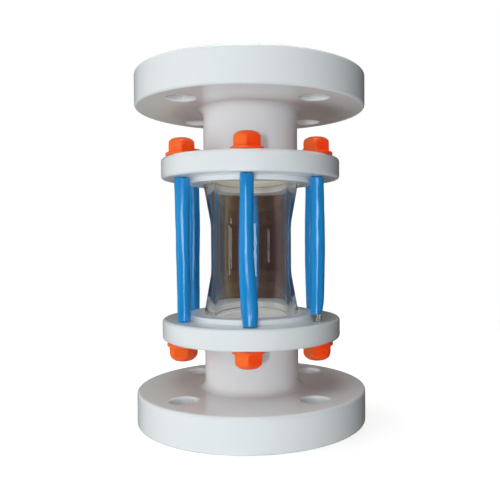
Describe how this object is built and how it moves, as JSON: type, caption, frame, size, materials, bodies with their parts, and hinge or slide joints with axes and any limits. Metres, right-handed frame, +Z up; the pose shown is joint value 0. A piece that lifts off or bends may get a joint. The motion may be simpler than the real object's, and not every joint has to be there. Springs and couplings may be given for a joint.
{
  "type": "sight flow indicator",
  "caption": "Full-view sight flow indicator: a flared glass tube clamped between white flanged plastic ends by tie rods with blue sleeves and orange nut caps.",
  "frame": {"origin": "centre of the lower pipe flange's face, on which the part stands", "axes": "+Z up along the flow axis, and one tie rod straight in front towards -Y"},
  "size_m": [0.1524, 0.1524, 0.2286],
  "materials": {
    "white_plastic": "satin moulded",
    "clear_glass": "clear polished",
    "gasket": "matt",
    "steel": "bright zinc plated",
    "blue_sleeve": "soft glossy",
    "orange_cap": "satin moulded"
  },
  "bodies": {
    "frame": {"lower_flanged_end": "white_plastic", "upper_flanged_end": "white_plastic", "sight_glass": "clear_glass", "lower_gasket": "gasket", "upper_gasket": "gasket", "upper_washers": "steel", "lower_washers": "steel", "upper_nuts": "steel", "lower_nuts": "steel", "tie_rod_1": "steel", "rod_sleeve_1": "blue_sleeve", "tie_rod_2": "steel", "rod_sleeve_2": "blue_sleeve", "tie_rod_3": "steel", "rod_sleeve_3": "blue_sleeve", "tie_rod_4": "steel", "rod_sleeve_4": "blue_sleeve", "tie_rod_5": "steel", "rod_sleeve_5": "blue_sleeve", "tie_rod_6": "steel", "rod_sleeve_6": "blue_sleeve"},
    "upper_cap_1": {"upper_cap_1": "orange_cap"},
    "upper_cap_2": {"upper_cap_2": "orange_cap"},
    "upper_cap_3": {"upper_cap_3": "orange_cap"},
    "upper_cap_4": {"upper_cap_4": "orange_cap"},
    "upper_cap_5": {"upper_cap_5": "orange_cap"},
    "upper_cap_6": {"upper_cap_6": "orange_cap"},
    "lower_cap_1": {"lower_cap_1": "orange_cap"},
    "lower_cap_2": {"lower_cap_2": "orange_cap"},
    "lower_cap_3": {"lower_cap_3": "orange_cap"},
    "lower_cap_4": {"lower_cap_4": "orange_cap"},
    "lower_cap_5": {"lower_cap_5": "orange_cap"},
    "lower_cap_6": {"lower_cap_6": "orange_cap"}
  },
  "joints": [
    {"name": "upper_cap_1_pull", "type": "slide", "parent": "frame", "child": "upper_cap_1", "axis": [0, 0, 1], "range_m": [0, 0.009]},
    {"name": "upper_cap_2_pull", "type": "slide", "parent": "frame", "child": "upper_cap_2", "axis": [0, 0, 1], "range_m": [0, 0.009]},
    {"name": "upper_cap_3_pull", "type": "slide", "parent": "frame", "child": "upper_cap_3", "axis": [0, 0, 1], "range_m": [0, 0.009]},
    {"name": "upper_cap_4_pull", "type": "slide", "parent": "frame", "child": "upper_cap_4", "axis": [0, 0, 1], "range_m": [0, 0.009]},
    {"name": "upper_cap_5_pull", "type": "slide", "parent": "frame", "child": "upper_cap_5", "axis": [0, 0, 1], "range_m": [0, 0.009]},
    {"name": "upper_cap_6_pull", "type": "slide", "parent": "frame", "child": "upper_cap_6", "axis": [0, 0, 1], "range_m": [0, 0.009]},
    {"name": "lower_cap_1_pull", "type": "slide", "parent": "frame", "child": "lower_cap_1", "axis": [0, 0, -1], "range_m": [0, 0.009]},
    {"name": "lower_cap_2_pull", "type": "slide", "parent": "frame", "child": "lower_cap_2", "axis": [0, 0, -1], "range_m": [0, 0.009]},
    {"name": "lower_cap_3_pull", "type": "slide", "parent": "frame", "child": "lower_cap_3", "axis": [0, 0, -1], "range_m": [0, 0.009]},
    {"name": "lower_cap_4_pull", "type": "slide", "parent": "frame", "child": "lower_cap_4", "axis": [0, 0, -1], "range_m": [0, 0.009]},
    {"name": "lower_cap_5_pull", "type": "slide", "parent": "frame", "child": "lower_cap_5", "axis": [0, 0, -1], "range_m": [0, 0.009]},
    {"name": "lower_cap_6_pull", "type": "slide", "parent": "frame", "child": "lower_cap_6", "axis": [0, 0, -1], "range_m": [0, 0.009]}
  ]
}
